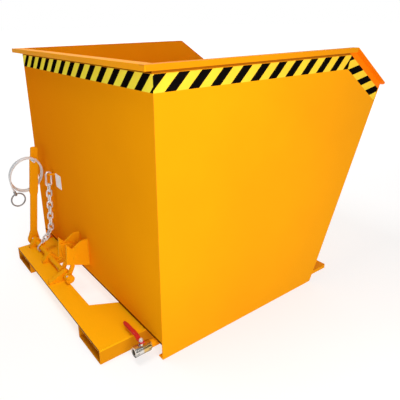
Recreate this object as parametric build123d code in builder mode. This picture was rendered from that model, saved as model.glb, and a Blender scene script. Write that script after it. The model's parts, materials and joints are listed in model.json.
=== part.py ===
from build123d import *

import os
from math import asin, atan2, cos, degrees, hypot, pi, radians, sin, sqrt, tan

os.makedirs("parts", exist_ok=True)

# Hopper: folded and welded sheet, lengths run forward from the rear wall
sheet = 4.0
hopper_width = 1080.0
hopper_top = 958.0
panel_gap = 4.0
panel_foot = 755.0
panel_head = 892.0
front_slope = 66.1
chamfer_slope = 34.5
skirt_flange = 20.0
floor_level = 61.0
rim_rear_reach = 38.0
rim_side_reach = 22.0
rim_lip = 17.0
rim_overrun = 6.0
rim_end_round = 18.0

# Base with the fork pockets
base_tail = 173.0
base_inset = 110.0
pocket_width = 168.0
pocket_height = 50.0
pocket_wall = 3.0
pocket_front = 720.0
plate = 6.0
plate_front = 40.0
cut_strip = 78.0
cut_inset = 75.0
cut_flare = 28.2
beam_depth = 60.0
beam_wall = 4.0
foot_length = 185.0
foot_inset = 30.0
foot_plate = 15.0
foot_corner = 5.0
pad_length = 30.0
pad_width = 90.0

# Tipping hinge on the foot plate
pivot_ahead = 75.0
pivot_level = 45.0
hinge_inset = 30.0
hinge_pin_radius = 12.5
bush_wall = 3.5
lug_radius = 26.0
lug_width = 20.0
lug_top = 150.0
hinge_cheek = 10.0
hinge_cheek_radius = 24.0
hinge_cheek_base = 30.0
pin_head = 8.0
pin_head_radius = 19.0
pin_tail = 12.0
cotter_radius = 2.5
cotter_reach = 22.0

# Clearances
run_fit = 0.05
side_play = 0.5
seat_gap = 0.3

# Latch on the rear cross plate
shaft_back = 93.0
shaft_level = 76.0
shaft_radius = 11.0
shaft_outset = 17.0
shaft_right = -14.0
shaft_chamfer = 1.5
bearing_width = 22.0
bearing_radius = 20.0
bearing_half = 35.0
bearing_foot = 8.0
bearing_insets = (35.0, 208.0)
latch_bearing_middle = 41.5
collar_width = 14.0
collar_radius = 18.0
lever_outset = 1.5
lever_thick = 12.0
lever_length = 455.0
lever_lean = 82.7
lever_half = 15.5
grip_half = 19.0
grip_inset = 40.0
grip_length = 190.0
lever_hub = 27.0
lever_foot = 45.0
grip_ease = 15.0
lever_end_round = 9.0
hook_thick = 10.0
hook_hub = 18.0
hook_arm_half = 8.0
hook_foot_lean = 63.0
hook_knee_reach = 50.0
hook_lean = 85.0
hook_inset = 10.0
beak_depth = 19.0
beak_reach = 11.0

# Striker on the rear wall
striker_spread = 83.0
striker_thick = 8.0
striker_pin_back = 58.0
striker_pin_level = 162.0
striker_pin_radius = 10.0
striker_pin_end = 2.0
striker_outline = ((0, 226), (-29, 226), (-67, 201), (-91, 228), (-98, 141), (-10, 110), (0, 108))

# Release cable, wound on the lever
cable_radius = 4.0
coil_back = 88.0
coil_half_small = (72.0, 84.0)
coil_half_large = (76.0, 90.0)
coil_start = 50.0
coil_sweep = 870.0
coil_steps = 10
coil_pitch = 10.5
coil_tilt = 29.0
coil_outset = 17.0
cable_lead = 2.0
cable_tail = 40.0
clamp_length = 6.0
clamp_width = 12.0
clamp_cover = 0.2
peg_angle = 57.0
peg_radius = 5.0
peg_length = 38.0
peg_gap = 0.8
ferrule_radius = 6.5
ferrule_length = 25.0
ring_seat = 18.0
ring_radius = 31.0
ring_wire = 3.5

# Safety chain between the rear wall and the latch shaft
link_wire = 4.0
link_bow = 10.5
link_straight = 14.6
upright_links = 8
upright_lean = 86.0
slack_dip = 58.0
chain_inset = 105.0
chain_back = 20.0
end_hook_wire = 3.5
end_hook_eye = 10.5
end_hook_sweep = 110.0
end_hook_clear = 2.5
end_hook_pull = 40.0
snap_wire = 4.0
snap_bow = 12.0
snap_straight = 40.0
gate_round = 3.5
gate_half = 1.8
gate_rise = 5.0
gate_pin = 1.5
staple_wire = 4.0
staple_half = 16.0
staple_bend = 8.0

# Drain with its ball valve
drain_inset = 53.0
drain_level = 40.0
sump_rear = 30.0
sump_length = 100.0
sump_width = 80.0
sump_level = 18.0
sump_wall = 4.0
sump_margin = 8.0
pipe_radius = 13.45
pipe_wall = 2.6
pipe_end = 15.0
nipple_hex = 30.0
nipple_collar = 5.0
nipple_bore = 8.0
nipple_thread = 8.0
valve_half = 29.0
valve_radius = 18.5
valve_hex = 34.0
valve_hex_length = 12.0
valve_port = 10.0
port_relief = 1.0
port_relief_radius = 11.5
valve_boss = 8.5
valve_boss_top = 26.0
cavity_half = 14.5
cavity_radius = 14.4
ball_radius = 14.0
ball_bore = 9.0
stem_radius = 4.0
stem_depth = 10.0
stem_top = 40.0
handle_thick = 3.5
handle_half = 8.0
handle_reach = 113.0
handle_rise = 7.0
handle_heel = 11.0
handle_flat = 15.0
handle_bend = 28.0
sleeve_start = 34.0
sleeve_thick = 8.0
sleeve_half = 8.5
sleeve_tip = 5.5
sleeve_round = 2.0
nut_hex = 13.0
nut_thick = 6.0
strainer_thick = 2.0
strainer_hole = 4.5
strainer_rows = 4
strainer_columns = 6

# Derived outline of the side of the hopper
half_width = hopper_width / 2
panel_inner = half_width - sheet
panel_top = hopper_top - sheet
rim_outer = half_width + rim_side_reach
plate_top = pocket_height + plate
half_base = half_width - base_inset
half_foot = half_width - foot_inset
pocket_inner = half_base - pocket_width
pocket_middle = half_base - pocket_width / 2
pocket_clear = pocket_width - 2 * pocket_wall
cut_half = pocket_inner - cut_inset
pivot_reach = panel_foot + pivot_ahead
hinge_middle = half_base - hinge_inset
shaft_left = half_base + shaft_outset
bearing_middles = [half_base - inset for inset in bearing_insets]
lever_face = half_base + lever_outset
grip_end = lever_length - grip_inset
grip_start = grip_end - grip_length
coil_top = shaft_level + grip_end
coil_middle = half_base + coil_outset
chain_middle = half_base - chain_inset
drain_middle = drain_inset - half_width
chamfer_turn = radians(chamfer_slope)


def meet(first, first_angle, second, second_angle):
    """Point where two lines cross, each given by a point and an angle in degrees."""
    a, b = radians(first_angle), radians(second_angle)
    dx, dz = second[0] - first[0], second[1] - first[1]
    run = (dx * sin(b) - dz * cos(b)) / sin(b - a)
    return first[0] + run * cos(a), first[1] + run * sin(a)


lip_x, lip_z = meet((panel_head, panel_top), -chamfer_slope, (panel_foot, panel_gap), front_slope)
hopper_reach = lip_x + rim_overrun * cos(chamfer_turn) + sheet * sin(chamfer_turn)
wall_x = (base_tail - hopper_reach) / 2
SIDES = (("left", 1), ("right", -1))


def at(forward, level):
    """Point of the side view, measured forward from the rear wall."""
    return wall_x + forward, level


def across(y):
    """Side-view plane at a given y; an extrusion from it runs toward -Y."""
    return Plane.XZ.offset(-y)


def start_of(sign, inner, outer):
    """Higher y of a band between two distances from the middle, on one side."""
    return outer if sign > 0 else -inner


def block(x0, x1, z0, z1):
    """Rectangle of the side view between two lengths and two levels."""
    with Locations((wall_x + (x0 + x1) / 2, (z0 + z1) / 2)):
        Rectangle(x1 - x0, z1 - z0)


def outline(*points):
    """Closed face through points of the side view."""
    Polygon(*[at(*point) for point in points], align=None)


def save(piece, name):
    piece.part.label = name
    export_step(piece.part, f"parts/{name}.step")


# Side panels with an inward flange along the bottom edge
for side, sign in SIDES:
    with BuildPart() as side_panel:
        with BuildSketch(across(start_of(sign, panel_inner, half_width))):
            outline(
                (0, panel_gap),
                (panel_foot, panel_gap),
                (lip_x, lip_z),
                (panel_head, panel_top),
                (0, panel_top),
            )
        extrude(amount=sheet)
        with BuildSketch(across(start_of(sign, panel_inner - skirt_flange, panel_inner))):
            block(0, panel_foot - sheet, panel_gap, panel_gap + sheet)
        extrude(amount=skirt_flange)
    save(side_panel, f"side_panel_{side}")

# Rear wall between the panels
with BuildPart() as rear_wall:
    with BuildSketch(across(panel_inner)):
        block(0, sheet, floor_level, panel_top)
    extrude(amount=2 * panel_inner)
save(rear_wall, "rear_wall")

# Floor and front sheet share the line of the inside of the slope
front_start = (panel_foot, panel_gap)
inside_start = (panel_foot - sheet / sin(radians(front_slope)), panel_gap)
front_low = meet((0, floor_level), 0, front_start, front_slope)
inside_low = meet((0, floor_level), 0, inside_start, front_slope)
inside_floor = meet((0, floor_level + sheet), 0, inside_start, front_slope)
inside_lip = meet((panel_head, panel_top), -chamfer_slope, inside_start, front_slope)
sump_front = sump_rear + sump_length
drain_hole = (sump_rear + sump_margin, sump_front - sump_margin)
with BuildPart() as floor_sheet:
    with BuildSketch(across(panel_inner)):
        outline((sheet, floor_level), inside_low, inside_floor, (sheet, floor_level + sheet))
    extrude(amount=2 * panel_inner)
    with BuildSketch(across(drain_middle + sump_width / 2 - sump_margin)):
        block(*drain_hole, floor_level, floor_level + sheet)
    extrude(amount=sump_width - 2 * sump_margin, mode=Mode.SUBTRACT)
save(floor_sheet, "floor_sheet")

with BuildPart() as front_sheet:
    with BuildSketch(across(panel_inner)):
        outline(front_low, (lip_x, lip_z), inside_lip, inside_low)
    extrude(amount=2 * panel_inner)
save(front_sheet, "front_sheet")

# Rim: flange over the sheet edges, a lip hanging from its outer edge along the level runs
lip_drop = rim_lip - sheet
with BuildPart() as rim_rear:
    with BuildSketch(across(panel_inner)):
        block(-rim_rear_reach, sheet, panel_top, hopper_top)
    extrude(amount=2 * panel_inner)
    with BuildSketch(across(rim_outer)):
        block(-rim_rear_reach, sheet - rim_rear_reach, panel_top - lip_drop, panel_top)
    extrude(amount=2 * rim_outer)
save(rim_rear, "rim_rear")

mitre = (sin(chamfer_turn) / (1 + cos(chamfer_turn)), 1.0)
corner_top = (panel_head + sheet * mitre[0], hopper_top)
corner_low = (panel_head - lip_drop * mitre[0], panel_top - lip_drop)
run_end = (lip_x + rim_overrun * cos(chamfer_turn), lip_z - rim_overrun * sin(chamfer_turn))
end_top = (run_end[0] + sheet * sin(chamfer_turn), run_end[1] + sheet * cos(chamfer_turn))
end_middle = ((run_end[0] + end_top[0]) / 2, (run_end[1] + end_top[1]) / 2)
for side, sign in SIDES:
    flange_start = start_of(sign, panel_inner, rim_outer)
    flange_width = rim_outer - panel_inner
    lip_start = start_of(sign, rim_outer - sheet, rim_outer)
    with BuildPart() as rim_straight:
        with BuildSketch(across(flange_start)):
            outline(
                (-rim_rear_reach, panel_top),
                (panel_head, panel_top),
                corner_top,
                (-rim_rear_reach, hopper_top),
            )
        extrude(amount=flange_width)
        with BuildSketch(across(lip_start)):
            outline(
                (sheet - rim_rear_reach, corner_low[1]),
                corner_low,
                (panel_head, panel_top),
                (sheet - rim_rear_reach, panel_top),
            )
        extrude(amount=sheet)
    save(rim_straight, f"rim_{side}")
    with BuildPart() as rim_chamfer:
        with BuildSketch(across(flange_start)):
            outline((panel_head, panel_top), run_end, end_top, corner_top)
        extrude(amount=flange_width)
        tip = Vector(wall_x + end_middle[0], sign * rim_outer, end_middle[1])
        fillet(rim_chamfer.edges().sort_by(lambda edge: (edge.center() - tip).length)[:1], rim_end_round)
    save(rim_chamfer, f"rim_chamfer_{side}")

# Fork pockets: flat tubes open at both ends
for side, sign in SIDES:
    with BuildPart() as fork_pocket:
        with BuildSketch(Plane.YZ.offset(wall_x - base_tail)):
            with Locations((sign * pocket_middle, pocket_height / 2)):
                Rectangle(pocket_width, pocket_height)
                Rectangle(pocket_clear, pocket_height - 2 * pocket_wall, mode=Mode.SUBTRACT)
        extrude(amount=base_tail + pocket_front)
    save(fork_pocket, f"fork_pocket_{side}")

# Rear cross plate with its tapered cut-out
cut_x = cut_strip - base_tail
cut_wide = cut_half + (plate_front - cut_x) * tan(radians(cut_flare))
with BuildPart() as rear_cross_plate:
    with BuildSketch(Plane.XY.offset(pocket_height)):
        with BuildLine():
            Polyline(
                (wall_x - base_tail, half_base),
                (wall_x + plate_front, half_base),
                (wall_x + plate_front, cut_wide),
                (wall_x + cut_x, cut_half),
                (wall_x + cut_x, -cut_half),
                (wall_x + plate_front, -cut_wide),
                (wall_x + plate_front, -half_base),
                (wall_x - base_tail, -half_base),
                close=True,
            )
        make_face()
    extrude(amount=plate)
save(rear_cross_plate, "rear_cross_plate")

# Front cross beam between the pockets
with BuildPart() as front_cross_beam:
    with BuildSketch(across(pocket_inner)):
        block(pocket_front - beam_depth, pocket_front, 0, pocket_height)
        with Locations(at(pocket_front - beam_depth / 2, pocket_height / 2)):
            Rectangle(beam_depth - 2 * beam_wall, pocket_height - 2 * beam_wall, mode=Mode.SUBTRACT)
    extrude(amount=2 * pocket_inner)
save(front_cross_beam, "front_cross_beam")

# Front foot plate, its outer corners cut
foot_front = pocket_front + foot_length
with BuildPart() as front_foot_plate:
    with BuildSketch(Plane.XY):
        with BuildLine():
            Polyline(
                (wall_x + pocket_front, half_foot),
                (wall_x + foot_front - foot_corner, half_foot),
                (wall_x + foot_front, half_foot - foot_corner),
                (wall_x + foot_front, foot_corner - half_foot),
                (wall_x + foot_front - foot_corner, -half_foot),
                (wall_x + pocket_front, -half_foot),
                close=True,
            )
        make_face()
    extrude(amount=foot_plate)
save(front_foot_plate, "front_foot_plate")

# Rest pads that carry the hopper floor on the cross plate
with BuildPart() as rest_pads:
    with BuildSketch(Plane.XY.offset(plate_top)):
        with Locations(*[(wall_x + plate_front / 2, sign * pocket_middle) for _, sign in SIDES]):
            Rectangle(pad_length, pad_width)
    extrude(amount=floor_level - plate_top)
save(rest_pads, "rest_pads")

# Tipping hinges: lug and bush on the hopper, two cheeks and a pin on the foot plate
bush_radius = hinge_pin_radius + bush_wall
lug_high = meet((0, lug_top), 0, front_start, front_slope)
cheek_inset = lug_width / 2 + side_play
cheek_rear = pivot_reach - hinge_cheek_base
for side, sign in SIDES:
    middle = sign * hinge_middle
    with BuildPart() as hinge_lug:
        with BuildSketch(across(middle + lug_width / 2)):
            with Locations(at(pivot_reach, pivot_level)):
                Circle(lug_radius)
            with BuildLine():
                Line(at(*front_low), at(*lug_high))
            make_hull()
            with Locations(at(pivot_reach, pivot_level)):
                Circle(bush_radius, mode=Mode.SUBTRACT)
        extrude(amount=lug_width)
    save(hinge_lug, f"hinge_lug_{side}")
    with BuildPart() as hinge_bush:
        with BuildSketch(across(middle + lug_width / 2)):
            with Locations(at(pivot_reach, pivot_level)):
                Circle(bush_radius)
                Circle(hinge_pin_radius + run_fit, mode=Mode.SUBTRACT)
        extrude(amount=lug_width)
    save(hinge_bush, f"hinge_bush_{side}")
    with BuildPart() as hinge_cheeks:
        for edge in (middle + cheek_inset + hinge_cheek, middle - cheek_inset):
            with BuildSketch(across(edge)):
                with Locations(at(pivot_reach, pivot_level)):
                    Circle(hinge_cheek_radius)
                block(cheek_rear, cheek_rear + 2 * hinge_cheek_base, foot_plate, foot_plate + plate)
                make_hull()
                with Locations(at(pivot_reach, pivot_level)):
                    Circle(hinge_pin_radius + run_fit, mode=Mode.SUBTRACT)
            extrude(amount=hinge_cheek)
    save(hinge_cheeks, f"hinge_cheeks_{side}")
    cheek_outer = cheek_inset + hinge_cheek
    head_start = sign * (hinge_middle + cheek_outer)
    tail_end = sign * (hinge_middle - cheek_outer - pin_tail)
    cotter_y = sign * (hinge_middle - cheek_outer - pin_tail / 2)
    with BuildPart() as hinge_pin:
        with BuildSketch(across(max(head_start, tail_end))):
            with Locations(at(pivot_reach, pivot_level)):
                Circle(hinge_pin_radius)
        extrude(amount=abs(head_start - tail_end))
        with BuildSketch(across(head_start + max(sign, 0) * pin_head)):
            with Locations(at(pivot_reach, pivot_level)):
                Circle(pin_head_radius)
        extrude(amount=pin_head)
        with BuildSketch(Plane.XY.offset(pivot_level - cotter_reach)):
            with Locations((wall_x + pivot_reach, cotter_y)):
                Circle(cotter_radius + run_fit)
        extrude(amount=2 * cotter_reach, mode=Mode.SUBTRACT)
    save(hinge_pin, f"hinge_pin_{side}")

# Split pins through the tails of both hinge pins
with BuildPart() as hinge_pin_cotters:
    for side, sign in SIDES:
        cotter_y = sign * (hinge_middle - cheek_inset - hinge_cheek - pin_tail / 2)
        with BuildSketch(Plane.XY.offset(pivot_level - cotter_reach)):
            with Locations((wall_x + pivot_reach, cotter_y)):
                Circle(cotter_radius)
        extrude(amount=2 * cotter_reach)
save(hinge_pin_cotters, "hinge_pin_cotters")

# Bearings of the latch shaft
shaft_point = at(-shaft_back, shaft_level)


def bearing_profile(rear, front):
    """Foot on the cross plate hulled with the eye round the shaft."""
    with Locations(shaft_point):
        Circle(bearing_radius)
    block(rear, front, plate_top, plate_top + bearing_foot)
    make_hull()
    with Locations(shaft_point):
        Circle(shaft_radius + run_fit, mode=Mode.SUBTRACT)


with BuildPart() as shaft_bearings:
    for middle in bearing_middles:
        with BuildSketch(across(middle + bearing_width / 2)):
            bearing_profile(-shaft_back - bearing_half, bearing_half - shaft_back)
        extrude(amount=bearing_width)
save(shaft_bearings, "shaft_bearings")

with BuildPart() as latch_bearing:
    with BuildSketch(across(latch_bearing_middle + bearing_width / 2)):
        bearing_profile(cut_x - 2 * bearing_half, cut_x)
    extrude(amount=bearing_width)
save(latch_bearing, "latch_bearing")

# Latch shaft and the two collars that keep it in place
with BuildPart() as latch_shaft:
    with BuildSketch(across(shaft_left)):
        with Locations(shaft_point):
            Circle(shaft_radius)
    extrude(amount=shaft_left - shaft_right)
    chamfer(latch_shaft.edges().filter_by(GeomType.CIRCLE), shaft_chamfer)
save(latch_shaft, "latch_shaft")

collar_left = max(bearing_middles) + bearing_width / 2 + side_play + collar_width
collar_right = shaft_right + shaft_chamfer + collar_width
with BuildPart() as shaft_collars:
    for edge in (collar_left, collar_right):
        with BuildSketch(across(edge)):
            with Locations(shaft_point):
                Circle(collar_radius)
                Circle(shaft_radius + run_fit, mode=Mode.SUBTRACT)
        extrude(amount=collar_width)
save(shaft_collars, "shaft_collars")

# Release lever, leaning toward the rear wall, with a wide foot and a wide grip
lever_turn = radians(lever_lean)
lever_plane = Plane(
    origin=(shaft_point[0], lever_face + lever_thick, shaft_level),
    x_dir=(cos(lever_turn), 0, sin(lever_turn)),
    z_dir=(0, -1, 0),
)
lever_edge = (
    (0, lever_hub),
    (lever_foot, lever_half),
    (grip_start, lever_half),
    (grip_start + grip_ease, grip_half),
    (grip_end - grip_ease, grip_half),
    (grip_end, lever_half),
    (lever_length, lever_half),
)
with BuildPart() as release_lever:
    with BuildSketch(lever_plane) as lever_profile:
        with BuildLine():
            Polyline(*lever_edge, *[(along, -aside) for along, aside in reversed(lever_edge)], close=True)
        make_face()
        fillet(lever_profile.vertices().group_by(Axis.X)[-1], lever_end_round)
        Circle(lever_hub)
        Circle(shaft_radius + run_fit, mode=Mode.SUBTRACT)
    extrude(amount=lever_thick)
save(release_lever, "release_lever")

# Two hook plates on the shaft, one inside each striker cheek, bent round the rear of the pin
pin_far = hypot(shaft_back - striker_pin_back, striker_pin_level - shaft_level)
pin_angle = degrees(atan2(striker_pin_level - shaft_level, shaft_back - striker_pin_back))
beak_inner = pin_far + striker_pin_radius + seat_gap
beak_outer = beak_inner + beak_depth
beak_back = degrees(asin(hook_arm_half / beak_outer))
beak_start = pin_angle - beak_reach
beak_sweep = hook_lean + beak_back - beak_start


def round_shaft(reach, angle):
    """Point of the side view at a reach and an angle from the latch shaft."""
    return shaft_point[0] + reach * cos(radians(angle)), shaft_level + reach * sin(radians(angle))


def arm(start, end):
    """Straight stretch of a hook plate between two points, with round ends."""
    run = hypot(end[0] - start[0], end[1] - start[1])
    with Locations(((start[0] + end[0]) / 2, (start[1] + end[1]) / 2)):
        turn = degrees(atan2(end[1] - start[1], end[0] - start[0]))
        SlotCenterToCenter(run, 2 * hook_arm_half, rotation=turn)


hook_knee = round_shaft(hook_knee_reach, hook_foot_lean)
hook_root = round_shaft(beak_inner + beak_depth / 2, hook_lean)
with BuildPart() as latch_hooks:
    for middle in (hook_inset, striker_spread - hook_inset):
        with BuildSketch(across(middle + hook_thick / 2)):
            with Locations(shaft_point):
                Circle(hook_hub)
            arm(shaft_point, hook_knee)
            arm(hook_knee, hook_root)
            with BuildLine():
                outer_arc = CenterArc(shaft_point, beak_outer, beak_start, beak_sweep)
                inner_arc = CenterArc(shaft_point, beak_inner, beak_start, beak_sweep)
                Line(outer_arc @ 0, inner_arc @ 0)
                Line(outer_arc @ 1, inner_arc @ 1)
            make_face()
            with Locations(shaft_point):
                Circle(shaft_radius + run_fit, mode=Mode.SUBTRACT)
        extrude(amount=hook_thick)
save(latch_hooks, "latch_hooks")

# Striker: two cheeks on the rear wall and the pin the hooks close over
with BuildPart() as striker_cheeks:
    for middle in (0, striker_spread):
        with BuildSketch(across(middle + striker_thick / 2)):
            outline(*striker_outline)
            with Locations(at(-striker_pin_back, striker_pin_level)):
                Circle(striker_pin_radius + run_fit, mode=Mode.SUBTRACT)
        extrude(amount=striker_thick)
save(striker_cheeks, "striker_cheeks")

striker_overhang = striker_thick / 2 + striker_pin_end
with BuildPart() as striker_pin:
    with BuildSketch(across(striker_spread + striker_overhang)):
        with Locations(at(-striker_pin_back, striker_pin_level)):
            Circle(striker_pin_radius)
    extrude(amount=striker_spread + 2 * striker_overhang)
    chamfer(striker_pin.edges().filter_by(GeomType.CIRCLE), shaft_chamfer)
save(striker_pin, "striker_pin")


# Release cable: loose turns slung round the lever, tied at the top by the peg
def coil_knot(step):
    """Point and direction of the cable after a number of steps."""
    part = step / coil_steps
    turn = radians(coil_start + coil_sweep * part)
    wide = coil_half_small[0] + (coil_half_large[0] - coil_half_small[0]) * part
    tall = coil_half_small[1] + (coil_half_large[1] - coil_half_small[1]) * part
    aside = coil_middle - coil_pitch * coil_sweep * part / 360 - coil_tilt * sin(turn)
    point = Vector(wall_x - coil_back + wide * cos(turn), aside, coil_top - tall * (1 - sin(turn)))
    slip = 0 if step == 0 else -coil_pitch / (2 * pi) - coil_tilt * cos(turn)
    return point, Vector(-wide * sin(turn), slip, tall * cos(turn)).normalized()


def biarc_middle(p, p_dir, q, q_dir):
    """Point where the two arcs between a pair of knots meet."""
    gap = q - p
    both = p_dir + q_dir
    bend = 2 * (1 - p_dir.dot(q_dir))
    reach = (sqrt(gap.dot(both) ** 2 + bend * gap.dot(gap)) - gap.dot(both)) / bend
    return (p + p_dir * reach + q - q_dir * reach) / 2


knots = [coil_knot(step) for step in range(coil_steps + 1)]
cable_start = knots[0][0] - knots[0][1] * cable_lead
cable_end = knots[-1][0] + knots[-1][1] * cable_tail
cable_drop = knots[-1][1]
with BuildPart() as release_cable:
    with BuildLine() as cable_path:
        Line(cable_start, knots[0][0])
        for (p, p_dir), (q, q_dir) in zip(knots, knots[1:]):
            middle_point = biarc_middle(p, p_dir, q, q_dir)
            first_arc = TangentArc(p, middle_point, tangent=p_dir)
            TangentArc(middle_point, q, tangent=first_arc % 1)
        Line(knots[-1][0], cable_end)
    with BuildSketch(Plane(origin=cable_start, z_dir=knots[0][1])):
        Circle(cable_radius)
    sweep(path=cable_path.wires()[0])
save(release_cable, "release_cable")
cable_length = cable_path.wires()[0].length
print("cable length", round(cable_length, 1))
cable_volume = pi * cable_radius**2 * cable_length
print("cable volume over section times length", release_cable.part.volume / cable_volume)
samples = [cable_path.wires()[0] @ (n / 600) for n in range(601)]
apart = int(4 * cable_radius / (cable_length / 600)) + 1
least = min((a - b).length for n, a in enumerate(samples) for b in samples[n + apart:])
print("least gap between turns", round(least - 2 * cable_radius, 2))

# Clamp on the lever that holds the start of the cable
clamp_middle = cable_start - knots[0][1] * (clamp_length / 2)
clamp_depth = lever_face - cable_start.Y + cable_radius + clamp_cover
with BuildPart() as cable_clamp:
    with BuildSketch(across(lever_face)):
        with Locations((clamp_middle.X, clamp_middle.Z)):
            Rectangle(clamp_length, clamp_width, rotation=degrees(atan2(knots[0][1].Z, knots[0][1].X)))
    extrude(amount=clamp_depth)
save(cable_clamp, "cable_clamp")

# Peg on the lever that carries the turns
peg_turn = radians(peg_angle)
peg_normal = Vector(cos(peg_turn) / coil_half_small[0], 0, sin(peg_turn) / coil_half_small[1]).normalized()
peg_contact = Vector(
    wall_x - coil_back + coil_half_small[0] * cos(peg_turn),
    0,
    coil_top - coil_half_small[1] * (1 - sin(peg_turn)),
)
peg_middle = peg_contact - peg_normal * (cable_radius + peg_radius + peg_gap)
with BuildPart() as cable_peg:
    with BuildSketch(across(lever_face)):
        with Locations((peg_middle.X, peg_middle.Z)):
            Circle(peg_radius)
    extrude(amount=peg_length)
save(cable_peg, "cable_peg")

# Ferrule at the free end of the cable and the pull ring through it
ring_drop = Vector(cable_drop.X, 0, cable_drop.Z).normalized()
ring_middle = cable_end + cable_drop * ring_seat + ring_drop * ring_radius
ring_plane = Plane(origin=ring_middle, x_dir=(1, 0, 0), z_dir=(0, 0, 1))
ring_axis = Axis(ring_middle, (0, 1, 0))
with BuildPart() as cable_ferrule:
    with BuildSketch(Plane(origin=cable_end, z_dir=cable_drop)):
        Circle(ferrule_radius)
    extrude(amount=ferrule_length)
    with BuildSketch(ring_plane):
        with Locations((ring_radius, 0)):
            Circle(ring_wire + run_fit)
    revolve(axis=ring_axis, mode=Mode.SUBTRACT)
save(cable_ferrule, "cable_ferrule")

with BuildPart() as pull_ring:
    with BuildSketch(ring_plane):
        with Locations((ring_radius, 0)):
            Circle(ring_wire)
    revolve(axis=ring_axis)
save(pull_ring, "pull_ring")

# Safety chain, worked out upward from the hook that lies over the latch shaft
LEFT = Vector(0, 1, 0)


def rising(angle):
    """Direction of the side view at an angle above the ground."""
    return Vector(cos(radians(angle)), 0, sin(radians(angle)))


end_hook_bow = shaft_radius + end_hook_wire + end_hook_clear
pull_up, slack_up, hang_up = rising(end_hook_pull), rising(slack_dip), rising(upright_lean)
link_slip = link_bow - 2 * link_wire - seat_gap
link_step = link_bow + link_slip
eye_slip = end_hook_eye - end_hook_wire - link_wire - seat_gap
snap_lift = link_bow - link_step + snap_bow - snap_wire - link_wire - seat_gap
snap_reach = snap_straight + snap_bow - snap_wire - staple_wire - seat_gap
hang_length = upright_links * (link_straight + link_step) + snap_lift + snap_reach
slack_run = (eye_slip + link_bow + link_straight) * pull_up.X + (2 * link_step + link_straight) * slack_up.X
hook_leave = Vector(shaft_point[0], chain_middle, shaft_level) + pull_up.cross(LEFT) * end_hook_bow
hook_arm = (wall_x - chain_back - hang_length * hang_up.X - slack_run - hook_leave.X) / pull_up.X
hook_eye = hook_leave + pull_up * hook_arm
first_link = hook_eye + pull_up * (eye_slip + link_bow)
slack_link = first_link + pull_up * link_straight + slack_up * link_step
links = [(first_link, pull_up, LEFT), (slack_link, slack_up, slack_up.cross(LEFT))]
bow = slack_link + slack_up * (link_straight + link_step)
for number in range(upright_links):
    links.append((bow, hang_up, hang_up.cross(LEFT) if number % 2 else LEFT))
    bow = bow + hang_up * (link_straight + link_step)
with BuildPart() as safety_chain:
    for low_bow, along, normal in links:
        link_plane = Plane(origin=low_bow, x_dir=along, z_dir=normal)
        with BuildLine(link_plane) as link_path:
            Line((0, -link_bow), (link_straight, -link_bow))
            CenterArc((link_straight, 0), link_bow, -90, 180)
            Line((link_straight, link_bow), (0, link_bow))
            CenterArc((0, 0), link_bow, 90, 180)
        with BuildSketch(Plane(origin=link_path.wires()[0] @ 0, z_dir=along)):
            Circle(link_wire)
        sweep(path=link_path.wires()[0])
save(safety_chain, "safety_chain")
link_length = 2 * link_straight + 2 * pi * link_bow
link_volume = pi * link_wire**2 * link_length * len(links)
print("chain volume over section times length", safety_chain.part.volume / link_volume)

# Hook of the lowest link, laid over the latch shaft
arm_end = hook_eye - pull_up * end_hook_eye
eye_front = hook_eye + pull_up * end_hook_eye
with BuildPart() as chain_end_hook:
    with BuildLine(across(chain_middle)) as hook_path:
        CenterArc(shaft_point, end_hook_bow, 90 + end_hook_pull + end_hook_sweep, -end_hook_sweep)
        Line((hook_leave.X, hook_leave.Z), (arm_end.X, arm_end.Z))
    with BuildSketch(Plane(origin=hook_path.wires()[0] @ 0, z_dir=hook_path.wires()[0] % 0)):
        Circle(end_hook_wire)
    sweep(path=hook_path.wires()[0])
    with BuildSketch(across(chain_middle)):
        with Locations((eye_front.X, eye_front.Z)):
            Circle(end_hook_wire)
    revolve(axis=Axis(hook_eye, pull_up.cross(LEFT)))
save(chain_end_hook, "chain_end_hook")

# Snap hook above the highest link, its gate pinned between two ears
snap_low = bow + hang_up * snap_lift
snap_plane = Plane(origin=snap_low, x_dir=LEFT.cross(hang_up), z_dir=-LEFT)
gate_pivot = (-snap_bow, gate_rise)
gate_slot = gate_half + seat_gap
slot_bottom = gate_rise - gate_round - seat_gap
with BuildPart() as snap_hook:
    with BuildLine(snap_plane) as snap_path:
        CenterArc((0, 0), snap_bow, 180, 180)
        Line((snap_bow, 0), (snap_bow, snap_straight))
        CenterArc((0, snap_straight), snap_bow, 0, 180)
    with BuildSketch(Plane(origin=snap_path.wires()[0] @ 0, z_dir=-hang_up)):
        Circle(snap_wire)
    sweep(path=snap_path.wires()[0])
    with BuildSketch(snap_plane):
        with Locations(gate_pivot):
            Circle(snap_wire)
        with Locations((-snap_bow, gate_rise / 2)):
            Rectangle(2 * snap_wire, gate_rise)
    extrude(amount=snap_wire, both=True)
    with BuildSketch(snap_plane):
        with Locations((-snap_bow, slot_bottom + snap_wire + gate_round)):
            Rectangle(2 * snap_wire, 2 * (snap_wire + gate_round))
    extrude(amount=gate_slot, both=True, mode=Mode.SUBTRACT)
    with BuildSketch(snap_plane):
        with Locations(gate_pivot):
            Circle(gate_pin)
    extrude(amount=snap_wire, both=True)
save(snap_hook, "snap_hook")

gate_top = snap_straight - seat_gap
with BuildPart() as snap_hook_gate:
    with BuildSketch(snap_plane):
        with Locations(gate_pivot):
            Circle(gate_round)
        with Locations((-snap_bow, (gate_rise + gate_top) / 2)):
            Rectangle(2 * gate_round, gate_top - gate_rise)
        with Locations(gate_pivot):
            Circle(gate_pin + run_fit, mode=Mode.SUBTRACT)
    extrude(amount=gate_half, both=True)
save(snap_hook_gate, "snap_hook_gate")
gate_foot = snap_plane.from_local_coords(gate_pivot)

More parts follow.
